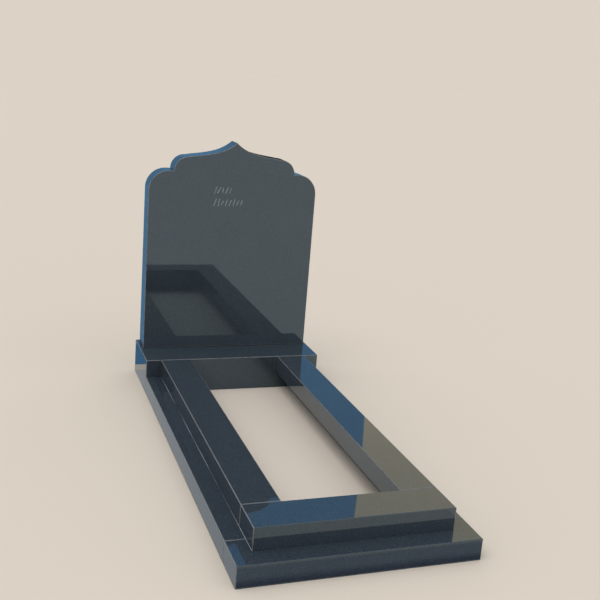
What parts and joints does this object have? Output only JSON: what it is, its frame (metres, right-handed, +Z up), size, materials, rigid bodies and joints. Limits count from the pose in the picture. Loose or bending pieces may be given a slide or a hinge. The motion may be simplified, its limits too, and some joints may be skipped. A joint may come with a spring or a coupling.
{
  "type": "kerbed memorial",
  "caption": "Kerbed grave memorial in polished dark granite: an ogee-topped headstone on a base block, with a stepped double kerb round an open planting bed.",
  "frame": {"origin": "on the ground, under the middle of the whole memorial", "axes": "+Z up, +Y from the front kerb to the headstone, +X to the right of someone who faces the headstone"},
  "size_m": [0.63, 1.464, 0.8641],
  "materials": {
    "polished_granite": "mirror polished black granite with a fine pale fleck"
  },
  "bodies": {
    "root": {"headstone": "polished_granite", "headstone_base": "polished_granite", "upper_kerb_front": "polished_granite", "upper_kerb_left": "polished_granite", "upper_kerb_right": "polished_granite", "lower_kerb_front": "polished_granite", "lower_kerb_left": "polished_granite", "lower_kerb_right": "polished_granite"}
  },
  "joints": []
}
